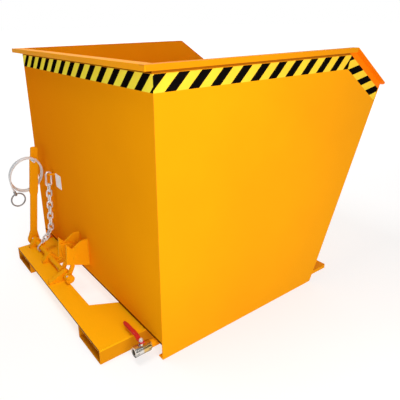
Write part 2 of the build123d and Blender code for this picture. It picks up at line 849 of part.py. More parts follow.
# Staple on the rear wall that the snap hook hangs from
staple_bar = snap_low + hang_up * snap_reach
with BuildPart() as chain_eye:
    with BuildLine(Plane.XY.offset(staple_bar.Z)) as staple_path:
        FilletPolyline(
            (wall_x, chain_middle + staple_half),
            (staple_bar.X, chain_middle + staple_half),
            (staple_bar.X, chain_middle - staple_half),
            (wall_x, chain_middle - staple_half),
            radius=staple_bend,
        )
    with BuildSketch(Plane(origin=staple_path.wires()[0] @ 0, z_dir=(-1, 0, 0))):
        Circle(staple_wire)
    sweep(path=staple_path.wires()[0])
save(chain_eye, "chain_eye")

# Drain sump under the floor, its strainer and the pipe to the rear
sump_side = drain_middle + sump_width / 2
with BuildPart() as drain_sump:
    with BuildSketch(across(sump_side)):
        block(sump_rear, sump_front, sump_level, floor_level)
    extrude(amount=sump_width)
    with BuildSketch(across(sump_side - sump_wall)):
        block(sump_rear + sump_wall, sump_front - sump_wall, sump_level + sump_wall, floor_level)
    extrude(amount=sump_width - 2 * sump_wall, mode=Mode.SUBTRACT)
    with BuildSketch(Plane.YZ.offset(wall_x + sump_rear)):
        with Locations((drain_middle, drain_level)):
            Circle(pipe_radius + run_fit)
    extrude(amount=sump_wall, mode=Mode.SUBTRACT)
save(drain_sump, "drain_sump")

floor_top = floor_level + sheet
strainer_step = (sump_length / strainer_columns, sump_width / strainer_rows)
with BuildPart() as strainer_plate:
    with BuildSketch(Plane.XY.offset(floor_top)):
        with Locations((wall_x + sump_rear + sump_length / 2, drain_middle)):
            Rectangle(sump_length, sump_width)
            with GridLocations(*strainer_step, strainer_columns, strainer_rows):
                Circle(strainer_hole, mode=Mode.SUBTRACT)
    extrude(amount=strainer_thick)
save(strainer_plate, "strainer_plate")

with BuildPart() as drain_pipe:
    with BuildSketch(Plane.YZ.offset(wall_x - pipe_end)):
        with Locations((drain_middle, drain_level)):
            Circle(pipe_radius)
            Circle(pipe_radius - pipe_wall, mode=Mode.SUBTRACT)
    extrude(amount=pipe_end + sump_rear + sump_wall)
save(drain_pipe, "drain_pipe")

# Brass nipple between the pipe and the valve
collar_front = wall_x - pipe_end
collar_rear = collar_front - nipple_collar
with BuildPart() as valve_nipple:
    with BuildSketch(Plane.YZ.offset(collar_rear)):
        with Locations((drain_middle, drain_level)):
            RegularPolygon(nipple_hex / 2, 6, major_radius=False)
    extrude(amount=nipple_collar)
    with BuildSketch(Plane.YZ.offset(collar_front)):
        with Locations((drain_middle, drain_level)):
            Circle(pipe_radius - pipe_wall - run_fit)
    extrude(amount=nipple_thread)
    with BuildSketch(Plane.YZ.offset(collar_rear - nipple_thread)):
        with Locations((drain_middle, drain_level)):
            Circle(valve_port - run_fit)
    extrude(amount=nipple_thread)
    with BuildSketch(Plane.YZ.offset(collar_rear - nipple_thread)):
        with Locations((drain_middle, drain_level)):
            Circle(nipple_bore)
    extrude(amount=nipple_collar + 2 * nipple_thread, mode=Mode.SUBTRACT)
save(valve_nipple, "valve_nipple")

# Ball valve: body, two seats, ball, stem, handle and its nut
valve_x = collar_rear - valve_half
relief_half = cavity_half + port_relief


def ring_section(start, length, radius, mode=Mode.ADD):
    """Round stretch of the valve along its bore, start measured from the ball."""
    with BuildSketch(Plane.YZ.offset(valve_x + start)) as section:
        with Locations((drain_middle, drain_level)):
            Circle(radius)
    extrude(section.sketch, amount=length, mode=mode)


def half_ball(radius, mode=Mode.ADD):
    """Sphere at the middle of the valve."""
    with BuildSketch(Plane.XY.offset(drain_level)) as section:
        with Locations((valve_x, drain_middle)):
            Circle(radius)
            with Locations((0, -radius)):
                Rectangle(2 * radius, 2 * radius, mode=Mode.SUBTRACT)
    revolve(section.sketch, Axis((valve_x, drain_middle, drain_level), (1, 0, 0)), mode=mode)


def upright(low, high, radius, mode=Mode.ADD):
    """Upright round stretch over the ball, levels measured from its middle."""
    with BuildSketch(Plane.XY.offset(drain_level + low)) as section:
        with Locations((valve_x, drain_middle)):
            Circle(radius)
    extrude(section.sketch, amount=high - low, mode=mode)


with BuildPart() as valve_body:
    ring_section(-valve_half, 2 * valve_half, valve_radius)
    for start in (-valve_half, valve_half - valve_hex_length):
        with BuildSketch(Plane.YZ.offset(valve_x + start)):
            with Locations((drain_middle, drain_level)):
                RegularPolygon(valve_hex / 2, 6, major_radius=False)
        extrude(amount=valve_hex_length)
    upright(0, valve_boss_top, valve_boss)
    ring_section(-valve_half, 2 * valve_half, valve_port, Mode.SUBTRACT)
    ring_section(-relief_half, 2 * relief_half, port_relief_radius, Mode.SUBTRACT)
    ring_section(-cavity_half, 2 * cavity_half, cavity_radius, Mode.SUBTRACT)
    upright(0, valve_boss_top, stem_radius + run_fit, Mode.SUBTRACT)
save(valve_body, "valve_body")

seat_length = cavity_half - sqrt(ball_radius**2 - valve_port**2)
with BuildPart() as valve_seats:
    for start in (-cavity_half, cavity_half - seat_length):
        ring_section(start, seat_length, cavity_radius - run_fit)
    ring_section(-cavity_half, 2 * cavity_half, ball_bore, Mode.SUBTRACT)
    half_ball(ball_radius + run_fit, Mode.SUBTRACT)
save(valve_seats, "valve_seats")

with BuildPart() as valve_ball:
    half_ball(ball_radius)
    with BuildSketch(across(drain_middle + ball_radius)):
        with Locations((valve_x, drain_level)):
            Circle(ball_bore)
    extrude(amount=2 * ball_radius, mode=Mode.SUBTRACT)
    upright(stem_depth, ball_radius, stem_radius + run_fit, Mode.SUBTRACT)
save(valve_ball, "valve_ball")

with BuildPart() as valve_stem:
    upright(stem_depth, stem_top, stem_radius)
save(valve_stem, "valve_stem")

handle_level = drain_level + valve_boss_top + side_play
raised = handle_level + handle_rise
handle_edge = (
    (drain_middle - handle_heel, handle_level),
    (drain_middle + handle_flat, handle_level),
    (drain_middle + handle_bend, raised),
    (drain_middle + handle_reach - 2 * sleeve_tip, raised),
)
with BuildPart() as valve_handle:
    with BuildSketch(Plane.YZ.offset(valve_x - handle_half)):
        with BuildLine():
            Polyline(*handle_edge, *[(y, z + handle_thick) for y, z in reversed(handle_edge)], close=True)
        make_face()
    extrude(amount=2 * handle_half)
    upright(valve_boss_top, stem_top, stem_radius + run_fit, Mode.SUBTRACT)
    with BuildSketch(Plane.XY.offset(raised + handle_thick / 2 - sleeve_thick / 2)):
        with Locations((valve_x, drain_middle + sleeve_start + sleeve_half)):
            Circle(sleeve_half)
        with Locations((valve_x, drain_middle + handle_reach - sleeve_tip)):
            Circle(sleeve_tip)
        make_hull()
    sleeve = extrude(amount=sleeve_thick)
    fillet(sleeve.edges().filter_by(Plane.XY), sleeve_round)
save(valve_handle, "valve_handle")

with BuildPart() as handle_nut:
    with BuildSketch(Plane.XY.offset(handle_level + handle_thick)):
        with Locations((valve_x, drain_middle)):
            RegularPolygon(nut_hex / 2, 6, major_radius=False)
            Circle(stem_radius + run_fit, mode=Mode.SUBTRACT)
    extrude(amount=nut_thick)
save(handle_nut, "handle_nut")

for title, point in (
    ("pivot", (wall_x + pivot_reach, 0, pivot_level)),
    ("shaft", (shaft_point[0], 0, shaft_level)),
    ("stem", (valve_x, drain_middle, drain_level)),
    ("staple", tuple(staple_bar)),
    ("gate", tuple(gate_foot)),
    ("ring", tuple(ring_middle)),
    ("cable end", tuple(cable_end)),
    ("wall", (wall_x, 0, floor_level)),
):
    print(title, [round(value, 3) for value in point])
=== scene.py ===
import bmesh
import bpy
import json
from math import ceil, cos, pi, radians, sin
from mathutils import Matrix, Vector


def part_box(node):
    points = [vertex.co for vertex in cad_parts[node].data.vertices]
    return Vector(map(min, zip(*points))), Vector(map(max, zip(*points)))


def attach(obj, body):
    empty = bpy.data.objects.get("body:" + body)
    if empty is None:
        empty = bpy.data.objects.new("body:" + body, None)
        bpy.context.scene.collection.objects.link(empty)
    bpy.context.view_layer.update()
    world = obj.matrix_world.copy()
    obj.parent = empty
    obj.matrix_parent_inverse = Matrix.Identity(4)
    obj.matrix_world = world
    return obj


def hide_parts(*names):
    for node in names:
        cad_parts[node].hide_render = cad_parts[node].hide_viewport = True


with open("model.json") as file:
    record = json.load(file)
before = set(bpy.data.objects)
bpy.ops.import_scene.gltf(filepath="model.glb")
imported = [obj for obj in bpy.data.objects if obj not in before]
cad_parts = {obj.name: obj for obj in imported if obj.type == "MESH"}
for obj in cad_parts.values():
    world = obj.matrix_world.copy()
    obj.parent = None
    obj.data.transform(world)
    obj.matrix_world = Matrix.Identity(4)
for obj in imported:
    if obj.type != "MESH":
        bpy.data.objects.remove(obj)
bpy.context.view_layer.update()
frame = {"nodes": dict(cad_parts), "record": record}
nodes = frame["nodes"]
scene = bpy.context.scene

# Rear wall's outer face: lengths below run forward from it, in millimetres
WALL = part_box("rear_wall")[0][0]
MM = 0.001
FORWARD, LEFT, RIGHT, UP = (1, 0, 0), (0, 1, 0), (0, -1, 0), (0, 0, 1)


def spot(x, y, z):
    """Point of the shared frame, from millimetres forward of the rear wall, left of the middle and up."""
    return Vector((WALL + x * MM, y * MM, z * MM))


def corners(node):
    """Lowest and highest corner of a node, in the millimetres that spot takes.

    They are rounded to a tenth, which evens out the facets of round pieces.
    """
    origin = spot(0, 0, 0)
    return [Vector([round(length / MM, 1) for length in corner - origin]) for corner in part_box(node)]


# Camera at the photograph's angle, for a 400 by 400 picture; focal length and centre are in its pixels
PICTURE, SENSOR, CLIP_END = 400, 36, 200
YAW, PITCH, ROLL = radians(35.96), radians(19.11), radians(-0.997)
CAMERA_AT = (-618.9, -1507.0, 1056.9)
FOCAL, CENTRE = 432.3, (180.0, 172.0)
LEVEL_VIEW = (sin(YAW), cos(YAW), 0)
ahead = Vector((sin(YAW) * cos(PITCH), cos(YAW) * cos(PITCH), -sin(PITCH)))
level = Vector((cos(YAW), -sin(YAW), 0))
above = level.cross(ahead)
right = level * cos(ROLL) + above * sin(ROLL)
top = above * cos(ROLL) - level * sin(ROLL)
heading = Matrix((right, top, -ahead)).transposed().to_4x4()
camera = bpy.data.objects.new("camera", bpy.data.cameras.new("camera"))
camera.matrix_world = Matrix.Translation(spot(*CAMERA_AT)) @ heading
camera.data.sensor_width = SENSOR
camera.data.lens = FOCAL / PICTURE * SENSOR
camera.data.shift_x = (PICTURE / 2 - CENTRE[0]) / PICTURE
camera.data.shift_y = (CENTRE[1] - PICTURE / 2) / PICTURE
camera.data.clip_end = CLIP_END
scene.collection.objects.link(camera)
scene.camera = camera
scene.view_settings.view_transform = "Standard"


# Shader groups shared by the materials
FLOAT, COLOUR, VECTOR = "NodeSocketFloat", "NodeSocketColor", "NodeSocketVector"


def new_group(name, inputs, outputs):
    group = bpy.data.node_groups.new(name, "ShaderNodeTree")
    for label, kind, default in inputs:
        socket = group.interface.new_socket(label, in_out="INPUT", socket_type=kind)
        socket.default_value = default
    for label, kind in outputs:
        group.interface.new_socket(label, in_out="OUTPUT", socket_type=kind)
    return group, group.nodes.new("NodeGroupInput"), group.nodes.new("NodeGroupOutput")


def plug(tree, value, socket):
    """Link an output to a socket, or set the socket's own value."""
    if hasattr(value, "links"):
        tree.links.new(value, socket)
    else:
        socket.default_value = value


def object_coords(tree):
    return tree.nodes.new("ShaderNodeTexCoord").outputs["Object"]


def noise(tree, coords, scale, detail=3.0, rough=0.55):
    node = tree.nodes.new("ShaderNodeTexNoise")
    node.inputs["Detail"].default_value = detail
    node.inputs["Roughness"].default_value = rough
    plug(tree, scale, node.inputs["Scale"])
    tree.links.new(coords, node.inputs["Vector"])
    return node.outputs["Fac"]


def arithmetic(tree, operation, *values, clamp=False):
    node = tree.nodes.new("ShaderNodeMath")
    node.operation = operation
    node.use_clamp = clamp
    for index, value in enumerate(values):
        plug(tree, value, node.inputs[index])
    return node.outputs[0]


def dot(tree, coords, direction):
    """Distance of a point along a direction."""
    node = tree.nodes.new("ShaderNodeVectorMath")
    node.operation = "DOT_PRODUCT"
    tree.links.new(coords, node.inputs[0])
    plug(tree, direction, node.inputs[1])
    return node.outputs["Value"]


def ramp(tree, value, start, end, low=0.0, high=1.0):
    """Number that goes from low to high while a value goes from start to end."""
    node = tree.nodes.new("ShaderNodeMapRange")
    tree.links.new(value, node.inputs["Value"])
    for label, limit in (("From Min", start), ("From Max", end), ("To Min", low), ("To Max", high)):
        plug(tree, limit, node.inputs[label])
    return node.outputs["Result"]


def blend_colour(tree, share, first, second):
    node = tree.nodes.new("ShaderNodeMix")
    node.data_type = "RGBA"
    plug(tree, share, node.inputs["Factor"])
    plug(tree, first, node.inputs["A"])
    plug(tree, second, node.inputs["B"])
    return node.outputs["Result"]


BUMP_HEIGHT = 0.0006


def finish_group():
    """Uneven tint, roughness and fine grain over the whole object."""
    group, entry, leave = new_group(
        "uneven_finish",
        (
            ("Colour", COLOUR, (1, 1, 1, 1)),
            ("Second Colour", COLOUR, (1, 1, 1, 1)),
            ("Shade", FLOAT, 0.08),
            ("Patch Scale", FLOAT, 5.0),
            ("Roughness", FLOAT, 0.4),
            ("Spread", FLOAT, 0.1),
            ("Grain Scale", FLOAT, 400.0),
            ("Grain", FLOAT, 0.05),
        ),
        (("Colour", COLOUR), ("Roughness", FLOAT), ("Normal", VECTOR)),
    )
    coords = object_coords(group)
    patch = noise(group, coords, entry.outputs["Patch Scale"])
    grain = noise(group, coords, entry.outputs["Grain Scale"], detail=2.0)
    lean = arithmetic(group, "SUBTRACT", patch, 0.5)
    speck = arithmetic(group, "MULTIPLY", arithmetic(group, "SUBTRACT", grain, 0.5), 0.5)
    swing = arithmetic(group, "ADD", lean, speck)
    share = arithmetic(group, "ADD", arithmetic(group, "MULTIPLY", lean, 3.0), 0.5, clamp=True)
    mixed = blend_colour(group, share, entry.outputs["Colour"], entry.outputs["Second Colour"])
    gain = arithmetic(group, "ADD", arithmetic(group, "MULTIPLY", swing, entry.outputs["Shade"]), 1.0)
    tint = group.nodes.new("ShaderNodeVectorMath")
    tint.operation = "SCALE"
    group.links.new(mixed, tint.inputs[0])
    group.links.new(gain, tint.inputs["Scale"])
    group.links.new(tint.outputs[0], leave.inputs["Colour"])
    drift = arithmetic(group, "MULTIPLY", swing, entry.outputs["Spread"])
    rough = arithmetic(group, "ADD", entry.outputs["Roughness"], drift, clamp=True)
    group.links.new(rough, leave.inputs["Roughness"])
    bump = group.nodes.new("ShaderNodeBump")
    bump.inputs["Distance"].default_value = BUMP_HEIGHT
    group.links.new(entry.outputs["Grain"], bump.inputs["Strength"])
    group.links.new(grain, bump.inputs["Height"])
    group.links.new(bump.outputs["Normal"], leave.inputs["Normal"])
    return group


def plane_group():
    """Mask that grows to its full share between two distances along a direction."""
    group, entry, leave = new_group(
        "past_plane",
        (
            ("Mask", FLOAT, 1.0),
            ("Direction", VECTOR, (0, 0, 1)),
            ("Start", FLOAT, 0.0),
            ("End", FLOAT, 1.0),
        ),
        (("Mask", FLOAT),),
    )
    distance = dot(group, object_coords(group), entry.outputs["Direction"])
    rise = ramp(group, distance, entry.outputs["Start"], entry.outputs["End"])
    mask = arithmetic(group, "MULTIPLY", entry.outputs["Mask"], rise)
    group.links.new(mask, leave.inputs["Mask"])
    return group


FINISH, PAST_PLANE = finish_group(), plane_group()


def past_plane(tree, plane, mask=1.0):
    """Mask of a plane, which is a direction and the two distances along it between which the mask grows."""
    direction, start, end = plane
    node = tree.nodes.new("ShaderNodeGroup")
    node.node_tree = PAST_PLANE
    plug(tree, mask, node.inputs["Mask"])
    node.inputs["Direction"].default_value = direction
    node.inputs["Start"].default_value = start
    node.inputs["End"].default_value = end
    return node.outputs["Mask"]


# Materials
COAT_ROUGHNESS = 0.15


def material(
    name,
    colour,
    second,
    roughness,
    metallic=0.0,
    coat=0.0,
    gloss=0.5,
    shade=0.1,
    patch=4.0,
    spread=0.15,
    grain=600.0,
    bump=0.06,
):
    """Shader with the shared uneven finish under it."""
    mat = bpy.data.materials.new(name)
    mat.use_nodes = True
    tree = mat.node_tree
    shader = tree.nodes["Principled BSDF"]
    surface = tree.nodes.new("ShaderNodeGroup")
    surface.node_tree = FINISH
    for label, value in (
        ("Colour", (*colour, 1)),
        ("Second Colour", (*second, 1)),
        ("Shade", shade),
        ("Patch Scale", patch),
        ("Roughness", roughness),
        ("Spread", spread),
        ("Grain Scale", grain),
        ("Grain", bump),
    ):
        surface.inputs[label].default_value = value
    for label, target in (("Colour", "Base Color"), ("Roughness", "Roughness"), ("Normal", "Normal")):
        tree.links.new(surface.outputs[label], shader.inputs[target])
    shader.inputs["Metallic"].default_value = metallic
    shader.inputs["Coat Weight"].default_value = coat
    shader.inputs["Coat Roughness"].default_value = COAT_ROUGHNESS
    shader.inputs["Specular IOR Level"].default_value = gloss
    mat.diffuse_color = (*colour, 1)
    return mat


def enamel(name, colour, second):
    """Orange paint, nearly without gloss and a little uneven."""
    return material(name, colour, second, 0.4, gloss=0.012, shade=0.05, patch=2.2, grain=260, bump=0.05)


def film(name, colour, second, shade=0.06):
    """Printed film of the hazard tape, without gloss."""
    return material(name, colour, second, 0.5, gloss=0.0, shade=shade, patch=14, grain=900, bump=0.05)


PAINT = enamel("orange_enamel", (0.92, 0.345, 0.003), (0.95, 0.365, 0.003))
# Lit copies of the orange paint: painted light makes the base and latch pieces lighter and yellower
LIT_BASE_PAINT = enamel("base_enamel_painted_light", (0.94, 0.43, 0.004), (0.96, 0.45, 0.004))
LIT_LATCH_PAINT = enamel("latch_enamel_painted_light", (0.94, 0.395, 0.004), (0.96, 0.415, 0.004))
# Shaded copy of the orange paint for the rim lips: painted shade makes them darker
SHADED_LIP_PAINT = enamel("rim_enamel", (0.8, 0.275, 0.003), (0.83, 0.29, 0.003))
WELD = material(
    "painted_weld", (0.88, 0.33, 0.003), (0.94, 0.36, 0.003),
    roughness=0.38, gloss=0.05, shade=0.2, patch=90, grain=500, bump=0.3,
)
ZINC = material(
    "zinc_plate", (0.95, 0.96, 0.98), (0.6, 0.62, 0.64),
    roughness=0.3, metallic=0.5, shade=0.2, patch=70, spread=0.3, grain=900,
)
RING_STEEL = material(
    "ring_steel", (0.34, 0.36, 0.38), (0.26, 0.27, 0.28),
    roughness=0.35, metallic=0.4, shade=0.2, patch=70, spread=0.3, grain=900,
)
NICKEL = material(
    "nickel_plate", (0.78, 0.76, 0.72), (0.66, 0.63, 0.57),
    roughness=0.2, metallic=1.0, shade=0.1, patch=80, spread=0.2, grain=900,
)
BRASS = material(
    "brass", (0.78, 0.55, 0.2), (0.64, 0.42, 0.13),
    roughness=0.28, metallic=1.0, shade=0.15, patch=80, spread=0.25, grain=900,
)
RUBBER = material(
    "black_rubber", (0.02, 0.02, 0.02), (0.03, 0.029, 0.027),
    roughness=0.75, shade=0.15, patch=30, grain=900, bump=0.2,
)
RED = material(
    "red_grip", (0.52, 0.008, 0.012), (0.58, 0.012, 0.015),
    roughness=0.3, coat=0.2, shade=0.08, patch=30, grain=900,
)
WHITE = material(
    "white_cable", (0.74, 0.77, 0.79), (0.66, 0.68, 0.7),
    roughness=0.4, shade=0.08, patch=40, grain=900, bump=0.1,
)
SEAT = material("white_seat", (0.82, 0.82, 0.8), (0.78, 0.78, 0.75), roughness=0.5)
PLATE = material(
    "blank_plate", (1.0, 0.97, 0.98), (0.94, 0.92, 0.93),
    roughness=0.32, shade=0.05, patch=25, grain=1200,
)
BLACK = film("tape_black", (0.003, 0.0025, 0.002), (0.005, 0.004, 0.0035), shade=0.1)
YELLOW = film("tape_yellow", (0.93, 0.6, 0.035), (0.96, 0.65, 0.04))
# Yellow of the rear tape, painted lighter than on the sides as a stand-in for light on the rear wall
LIT_REAR_YELLOW = film("rear_tape_yellow_painted_light", (1.0, 0.86, 0.06), (1.0, 0.9, 0.07))


def variant(mat, name, fades):
    """Copy of a finish with other colours where a point of the object lies past all of a list of planes."""
    made = mat.copy()
    made.name = name
    tree = made.node_tree
    target = tree.nodes["Principled BSDF"].inputs["Base Color"]
    for colour, planes in fades:
        share = 1.0
        for plane in planes:
            share = past_plane(tree, plane, share)
        tree.links.new(blend_colour(tree, share, target.links[0].from_socket, (*colour, 1)), target)
    return made


# Painted shadow and shade, redder where orange surfaces light each other, and the colour of bare brass
PAINTED_RIM_SHADOW, PAINTED_DARK_SHADOW = (0.4, 0.12, 0.002), (0.12, 0.03, 0.001)
PAINTED_WARM_SHADE, PAINTED_RED_SHADE = (0.92, 0.215, 0.002), (0.92, 0.265, 0.003)
PAINTED_POCKET_SHADE, PAINTED_EDGE_SHADE = (0.72, 0.266, 0.003), (0.17, 0.055, 0.005)
BARE_BRASS, PAINTED_UNDERSIDE_SHADE = (0.74, 0.5, 0.17), (0.02, 0.017, 0.012)

# Planes that bound the painted shades and the bare brass, in metres
SLOPE = radians(34.5)
FACING_SLOPE, SLOPE_WALL = (sin(SLOPE), 0, cos(SLOPE)), WALL * sin(SLOPE)
PANEL_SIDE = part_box("side_panel_left")[1].y
WALL_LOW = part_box("rear_wall")[0].z
POCKET_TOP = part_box("fork_pocket_left")[1].z
PLATE_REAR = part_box("rear_cross_plate")[0].x
ABOVE_TAPE = (UP, 0.9295, 0.9325)
ABOVE_SLOPE_TAPE = (FACING_SLOPE, SLOPE_WALL + 1.265, SLOPE_WALL + 1.269)
BEHIND_WALL = (FORWARD, WALL + 0.003, WALL + 0.001)
FAR_SIDE = (LEFT, -0.5, 0.45)
WALL_FOOT = (UP, WALL_LOW + 0.010, WALL_LOW + 0.006)
BELOW_RIM = (UP, 0.98, 0.94)
POCKET_SIDE = (UP, POCKET_TOP - 0.0005, POCKET_TOP - 0.001)
SHADED_REAR_FACE = (FORWARD, PLATE_REAR + 0.0005, PLATE_REAR + 0.0001)
BARE_HALF, VALVE_LOW = (FORWARD, WALL - 0.052, WALL - 0.046), (UP, 0.039, 0.027)


def shaded_panel_paint(name, outward):
    """Paint with a painted shadow under the rim and a painted redder shade under its sloping stretch, on the
    outside alone.
    """
    outside = (outward, PANEL_SIDE - 0.003, PANEL_SIDE - 0.001)
    return variant(
        PAINT,
        name,
        [
            (PAINTED_RIM_SHADOW, [ABOVE_TAPE, outside]),
            (PAINTED_WARM_SHADE, [ABOVE_SLOPE_TAPE, outside]),
        ],
    )


# Rear wall: painted redder shade toward its far side, painted shadow under the rim and at its foot, with no
# reflection
SHADED_REAR_PAINT = variant(
    PAINT,
    "rear_enamel_painted_shade",
    [
        (PAINTED_RED_SHADE, [FAR_SIDE, BEHIND_WALL]),
        (PAINTED_DARK_SHADOW, [ABOVE_TAPE, BEHIND_WALL]),
        (PAINTED_DARK_SHADOW, [WALL_FOOT, BEHIND_WALL]),
    ],
)
SHADED_REAR_PAINT.node_tree.nodes["Principled BSDF"].inputs["Specular IOR Level"].default_value = 0.0
# Sloping rims: painted redder shade toward their lower end
SHADED_RIM_PAINT = variant(PAINT, "sloping_rim_painted_shade", [(PAINTED_WARM_SHADE, [BELOW_RIM])])
# Valve of plated and bare halves, with a painted shadow and dark reflection on its underside
VALVE = variant(NICKEL, "valve_metal_painted_shade", [(BARE_BRASS, [BARE_HALF]), (PAINTED_UNDERSIDE_SHADE, [VALVE_LOW])])
# Painted shade on the sides of the fork pockets and on the rear edge face of the cross plate
SHADED_POCKET_PAINT = variant(LIT_BASE_PAINT, "pocket_enamel_painted_shade", [(PAINTED_POCKET_SHADE, [POCKET_SIDE])])
SHADED_EDGE_PAINT = variant(LIT_BASE_PAINT, "plate_enamel_painted_shade", [(PAINTED_EDGE_SHADE, [SHADED_REAR_FACE])])

LOOKS = {
    "zinc_steel": ZINC,
    "black_rubber": RUBBER,
    "brass": BRASS,
    "nickel_plate": NICKEL,
    "white_plastic": SEAT,
    "red_plastic": RED,
    "orange_paint": PAINT,
}
# Base and latch pieces take the lit copies of the paint, which carry painted light
BASE_PIECES = ("front_cross_beam", "hinge_cheeks_left", "hinge_cheeks_right")
LATCH_PIECES = (
    "shaft_bearings",
    "latch_bearing",
    "latch_shaft",
    "shaft_collars",
    "release_lever",
    "latch_hooks",
    "striker_cheeks",
    "striker_pin",
)
OWN_LOOKS = {name: LIT_BASE_PAINT for name in BASE_PIECES} | {name: LIT_LATCH_PAINT for name in LATCH_PIECES}
OWN_LOOKS.update(
    valve_body=VALVE,
    pull_ring=RING_STEEL,
    cable_ferrule=RING_STEEL,
    rear_cross_plate=SHADED_EDGE_PAINT,
    side_panel_left=shaded_panel_paint("left_panel_painted_shade", LEFT),
    side_panel_right=shaded_panel_paint("right_panel_painted_shade", RIGHT),
    rear_wall=SHADED_REAR_PAINT,
    fork_pocket_left=SHADED_POCKET_PAINT,
    fork_pocket_right=SHADED_POCKET_PAINT,
    rim_left=SHADED_LIP_PAINT,
    rim_right=SHADED_LIP_PAINT,
    rim_chamfer_left=SHADED_RIM_PAINT,
    rim_chamfer_right=SHADED_RIM_PAINT,
)
for piece in frame["record"]["subparts"]:
    node = nodes[piece["node"]]
    node.data.materials.clear()
    node.data.materials.append(OWN_LOOKS.get(piece["node"], LOOKS[piece["material_slot"]]))


# Pieces made in mesh code
def piece_from(name, mesh_maker, materials, body):
    """New piece from a mesh under construction, riding on a body."""
    mesh = bpy.data.meshes.new(name)
    mesh_maker.normal_update()
    mesh_maker.to_mesh(mesh)
    mesh_maker.free()
    for mat in materials:
        mesh.materials.append(mat)
    made = bpy.data.objects.new(name, mesh)
    scene.collection.objects.link(made)
    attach(made, body)
    return made


def tube(maker, path, radius, sides=8, closed=False):
    """Round bar along a path in wall millimetres; radius is a number or a function of the length run."""
    points = [Vector(point) for point in path]
    count = len(points)
    rings, run, guide = [], 0.0, None
    for index, point in enumerate(points):
        before = points[index - 1] if closed or index else point
        after = points[(index + 1) % count] if closed or index < count - 1 else point
        along = (after - before).normalized()
        if guide is None:
            guide = along.orthogonal().normalized()
        guide = (guide - along * guide.dot(along)).normalized()
        other = along.cross(guide)
        if index:
            run += (point - points[index - 1]).length
        size = radius(run) if callable(radius) else radius
        ring = []
        for side in range(sides):
            turn = 2 * pi * side / sides
            ring.append(maker.verts.new(spot(*(point + (guide * cos(turn) + other * sin(turn)) * size))))
        rings.append(ring)
    pairs = list(zip(rings, rings[1:] + rings[:1])) if closed else list(zip(rings, rings[1:]))
    for low, high in pairs:
        for side in range(sides):
            after = (side + 1) % sides
            face = maker.faces.new((low[side], low[after], high[after], high[side]))
            face.smooth = True
    if not closed:
        maker.faces.new(list(reversed(rings[0])))
        maker.faces.new(rings[-1])


def lathe(maker, centre, axis, profile, sides=24, material_index=0):
    """Turned form: profile of (distance along the axis, radius), in wall millimetres."""
    axis = Vector(axis).normalized()
    first = axis.orthogonal().normalized()
    second = axis.cross(first)
    rings = []
    for along, size in profile:
        ring = []
        for side in range(sides):
            turn = 2 * pi * side / sides
            out = first * cos(turn) + second * sin(turn)
            ring.append(maker.verts.new(spot(*(Vector(centre) + axis * along + out * size))))
        rings.append(ring)
    for low, high in zip(rings, rings[1:]):
        for side in range(sides):
            after = (side + 1) % sides
            face = maker.faces.new((low[side], low[after], high[after], high[side]))
            face.smooth = sides > 6
            face.material_index = material_index
    for ring in (list(reversed(rings[0])), rings[-1]):
        maker.faces.new(ring).material_index = material_index


def straight(first, second, step):
    """Points along a straight run, close enough together for a bead's ripple."""
    first, second = Vector(first), Vector(second)
    count = max(2, ceil((second - first).length / step))
    return [first.lerp(second, index / count) for index in range(count + 1)]


def circle(centre, axis, size, count):
    """Points round an axis, for a closed bead."""
    axis = Vector(axis).normalized()
    first = axis.orthogonal().normalized()
    second = axis.cross(first)
    turns = [2 * pi * index / count for index in range(count)]
    return [Vector(centre) + (first * cos(turn) + second * sin(turn)) * size for turn in turns]


# Hazard tape below the rim, 50 mm wide, stripes at 45 degrees
TAPE_LOW, TAPE_HIGH = 880.0, 930.0
TAPE_WIDTH = TAPE_HIGH - TAPE_LOW
TAPE_PROUD, TAPE_THICK = 0.02, 0.25
# Length of a black and a yellow stripe together, of a black one alone, and where a black one starts
PERIOD, REAR_PERIOD, BLACK_WIDTH = 80.4, 81.5, 39.0
REAR_START, SIDE_START, SLOPE_START = 3.5, 35.5, (883, 880)
# Where the tape of a side turns down the slope, and where it ends
MITRE_LOW, MITRE_HIGH = 869.1, 884.6
SLOPE_END_LOW, SLOPE_END_HIGH = (1075.5, 738.3), (1094.0, 786.5)
HALF_WIDTH = corners("side_panel_left")[1].y
ALONG, ACROSS = (cos(SLOPE), -sin(SLOPE)), (sin(SLOPE), cos(SLOPE))


def clip(shape, normal, limit):
    """Part of a convex outline where its points' dot product with normal stays under a limit."""
    kept = []
    for first, second in zip(shape, shape[1:] + shape[:1]):
        a = first[0] * normal[0] + first[1] * normal[1] - limit
        b = second[0] * normal[0] + second[1] * normal[1] - limit
        if a <= 0:
            kept.append(first)
        if a * b < 0:
            share = a / (a - b)
            kept.append(tuple(start + (end - start) * share for start, end in zip(first, second)))
    return kept


def stripes(maker, shape, start, place, period=PERIOD):
    """Slanted black and yellow faces that fill a convex outline of (run, rise) points."""
    low = min(run - rise for run, rise in shape)
    high = max(run - rise for run, rise in shape)
    count = ceil((high - start) / period)
    for number in range(int((low - start) // period), count + 1):
        edge = start + number * period
        bands = (edge, edge + BLACK_WIDTH), (edge + BLACK_WIDTH, edge + period)
        for index, (first, second) in enumerate(bands):
            part = clip(clip(shape, (1, -1), second), (-1, 1), -first)
            if len(part) > 2:
                face = maker.faces.new([maker.verts.new(spot(*place(run, rise))) for run, rise in part])
                face.material_index = index


def tape_piece(name, maker, flip, yellow=YELLOW):
    made = piece_from(name, maker, [BLACK, yellow], "hopper")
    skin = made.modifiers.new("thickness", "SOLIDIFY")
    skin.thickness = TAPE_THICK * MM
    skin.offset = -1.0 if flip else 1.0


def on_slope(x, z):
    """Run along the slope and rise across it, from the lower corner of the tape's mitre."""
    dx, dz = x - MITRE_LOW, z - TAPE_LOW
    return dx * ALONG[0] + dz * ALONG[1], dx * ACROSS[0] + dz * ACROSS[1]


